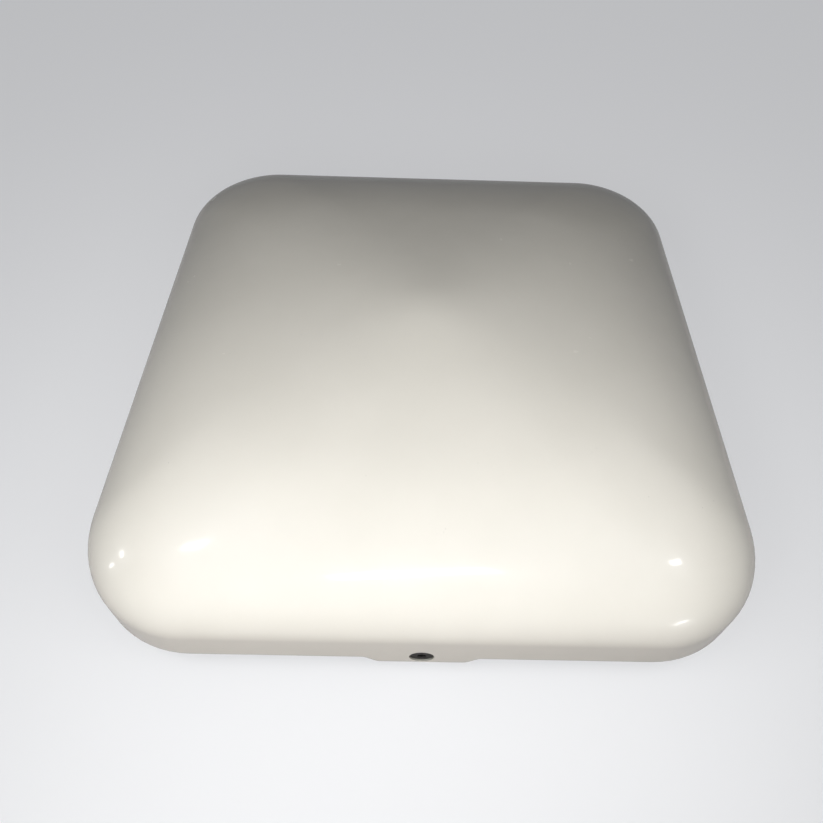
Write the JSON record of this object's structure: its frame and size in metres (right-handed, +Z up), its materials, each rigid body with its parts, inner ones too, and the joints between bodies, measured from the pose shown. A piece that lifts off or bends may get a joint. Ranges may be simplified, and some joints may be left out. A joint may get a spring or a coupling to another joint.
{
  "type": "chimney flue cover",
  "caption": "Square white moulded flue cover with a shallow hipped top, screwed to brackets on a gasketed roof frame with slotted guards and a heat shield below it.",
  "frame": {"origin": "on the roof face under the gasket, in line with the crown of the cover", "axes": "+Z up, +X to the right, -Y to the front of the cover"},
  "size_m": [0.35, 0.35, 0.098],
  "materials": {
    "gelcoat_white": "gloss",
    "laminate_grey": "matt",
    "black_oxide_steel": "satin",
    "zinc_steel": "satin",
    "galvanised_steel": "matt",
    "rivet_steel": "satin",
    "mill_aluminium": "satin",
    "shield_aluminium": "satin",
    "rivet_aluminium": "satin",
    "foam_rubber": "matt"
  },
  "bodies": {
    "mounting_frame": {"front_bracket": "galvanised_steel", "right_bracket": "galvanised_steel", "rear_bracket": "galvanised_steel", "left_bracket": "galvanised_steel", "front_guard": "mill_aluminium", "right_guard": "mill_aluminium", "rear_guard": "mill_aluminium", "left_guard": "mill_aluminium", "roof_frame": "mill_aluminium", "roof_gasket": "foam_rubber", "bracket_rivets": "rivet_steel", "guard_rivets": "rivet_aluminium"},
    "cover": {"cover_shell": "gelcoat_white", "fixing_screws": "black_oxide_steel", "clamp_plates": "zinc_steel", "front_lug_plate": "laminate_grey", "right_lug_plate": "laminate_grey", "rear_lug_plate": "laminate_grey", "left_lug_plate": "laminate_grey", "heat_shield": "shield_aluminium", "shield_studs": "zinc_steel", "shield_spacers": "zinc_steel", "shield_washers": "zinc_steel", "shield_nuts": "zinc_steel"}
  },
  "joints": [
    {"name": "cover_lift", "type": "slide", "parent": "mounting_frame", "child": "cover", "axis": [0, 0, 1], "range_m": [0, 0.1]}
  ]
}
